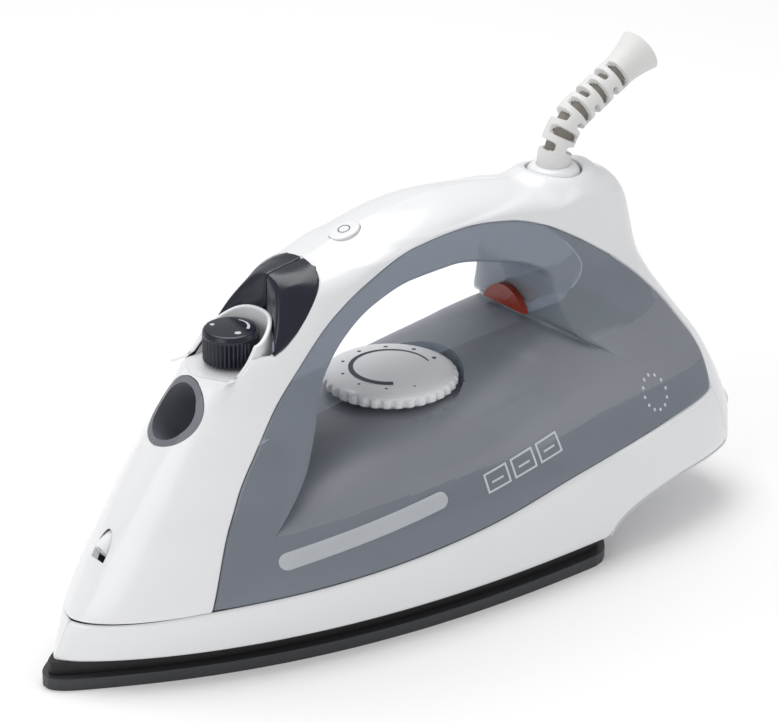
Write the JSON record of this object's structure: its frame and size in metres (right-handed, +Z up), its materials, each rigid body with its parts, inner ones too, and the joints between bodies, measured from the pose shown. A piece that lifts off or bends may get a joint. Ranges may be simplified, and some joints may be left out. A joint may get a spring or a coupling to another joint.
{
  "type": "steam iron",
  "caption": "Steam iron with a see-through tank in the front column and body, loop handle, thumb keys, steam knob, heat dial and a turning cord outlet with a slotted bend relief.",
  "frame": {"origin": "middle of the flat sole face, 110 mm behind the soleplate's tip on the centre line", "axes": "-X points to the nose, +Z up from the sole face, +Y to the right-hand side of a person holding the iron with its nose ahead"},
  "size_m": [0.27, 0.1044, 0.1633],
  "materials": {
    "soleplate": "dark non-stick coating with a fine sparkle",
    "heating_element": "satin sheath",
    "steam_chamber_cover": "stamped",
    "valve_seat": "silicone",
    "heat_shield": "matt black",
    "skirt": "gloss white",
    "water_tank": "smoke grey, see-through, frosted on the deck",
    "tank_base": "smoke grey, see-through",
    "handle_shell": "smoke grey, see-through",
    "top_cover": "gloss white",
    "rear_cover": "gloss white",
    "heel_feet": "soft grey",
    "fill_spout": "smoke grey",
    "spray_nozzle": "off-white",
    "spray_hose": "clear silicone",
    "burst_hose": "clear silicone",
    "stem_gland": "silicone",
    "spray_pump": "natural",
    "burst_pump": "natural",
    "spray_spring": "wire",
    "burst_spring": "wire",
    "reset_switch": "black",
    "reset_spring": "wire",
    "thermostat": "stamped",
    "pilot_lens": "see-through red",
    "pilot_lamp": "small neon",
    "swivel_retainer": "natural",
    "terminal_block": "ivory",
    "auto_off_board": "green laminate",
    "thermal_fuse": "ceramic",
    "lead_wires": "silicone sleeve",
    "soleplate_screws": "plated",
    "temperature_dial": "gloss white",
    "dial_shaft": "turned",
    "steam_knob": "gloss blue-black",
    "valve_stem": "turned",
    "spray_button": "satin blue-black",
    "spray_plunger": "natural",
    "burst_button": "satin blue-black",
    "burst_plunger": "natural",
    "reset_button": "satin white",
    "cord_swivel": "gloss white",
    "bend_relief": "matt off-white"
  },
  "bodies": {
    "housing": {"soleplate": "soleplate", "heating_element": "heating_element", "steam_chamber_cover": "steam_chamber_cover", "valve_seat": "valve_seat", "heat_shield": "heat_shield", "skirt": "skirt", "water_tank": "water_tank", "tank_base": "tank_base", "handle_shell": "handle_shell", "top_cover": "top_cover", "rear_cover": "rear_cover", "heel_feet": "heel_feet", "fill_spout": "fill_spout", "spray_nozzle": "spray_nozzle", "spray_hose": "spray_hose", "burst_hose": "burst_hose", "stem_gland": "stem_gland", "spray_pump": "spray_pump", "burst_pump": "burst_pump", "spray_spring": "spray_spring", "burst_spring": "burst_spring", "reset_switch": "reset_switch", "reset_spring": "reset_spring", "thermostat": "thermostat", "pilot_lens": "pilot_lens", "pilot_lamp": "pilot_lamp", "swivel_retainer": "swivel_retainer", "terminal_block": "terminal_block", "auto_off_board": "auto_off_board", "thermal_fuse": "thermal_fuse", "lead_wires": "lead_wires", "soleplate_screws": "soleplate_screws"},
    "dial_turn": {"temperature_dial": "temperature_dial", "dial_shaft": "dial_shaft"},
    "knob_turn": {"steam_knob": "steam_knob", "valve_stem": "valve_stem"},
    "spray_key": {"spray_button": "spray_button", "spray_plunger": "spray_plunger"},
    "burst_key": {"burst_button": "burst_button", "burst_plunger": "burst_plunger"},
    "reset_key": {"reset_button": "reset_button"},
    "cord_turret": {"cord_swivel": "cord_swivel", "bend_relief": "bend_relief"}
  },
  "joints": [
    {"name": "dial_turn", "type": "hinge", "parent": "housing", "child": "dial_turn", "pos_m": [0.0306, 0, 0.066], "axis": [0, 0, 1], "range_deg": [0, 270]},
    {"name": "knob_turn", "type": "hinge", "parent": "housing", "child": "knob_turn", "pos_m": [-0.0345, 0, 0.095], "axis": [0, 0, 1], "range_deg": [0, 120]},
    {"name": "spray_press", "type": "slide", "parent": "housing", "child": "spray_key", "axis": [0, 0, -1], "range_m": [0, 0.003], "stiffness_N_per_m": 400, "springref_m": -0.002, "deforming": ["spray_spring"]},
    {"name": "burst_press", "type": "slide", "parent": "housing", "child": "burst_key", "axis": [0, 0, -1], "range_m": [0, 0.003], "stiffness_N_per_m": 400, "springref_m": -0.002, "deforming": ["burst_spring"]},
    {"name": "reset_press", "type": "slide", "parent": "housing", "child": "reset_key", "axis": [0.2924, 0, -0.9563], "range_m": [0, 0.0015], "stiffness_N_per_m": 300, "springref_m": -0.001, "deforming": ["reset_spring"]},
    {"name": "cord_turn", "type": "hinge", "parent": "housing", "child": "cord_turret", "pos_m": [0.102, 0, 0.118], "axis": [0, 0, 1], "range_deg": [-150, 150]}
  ]
}
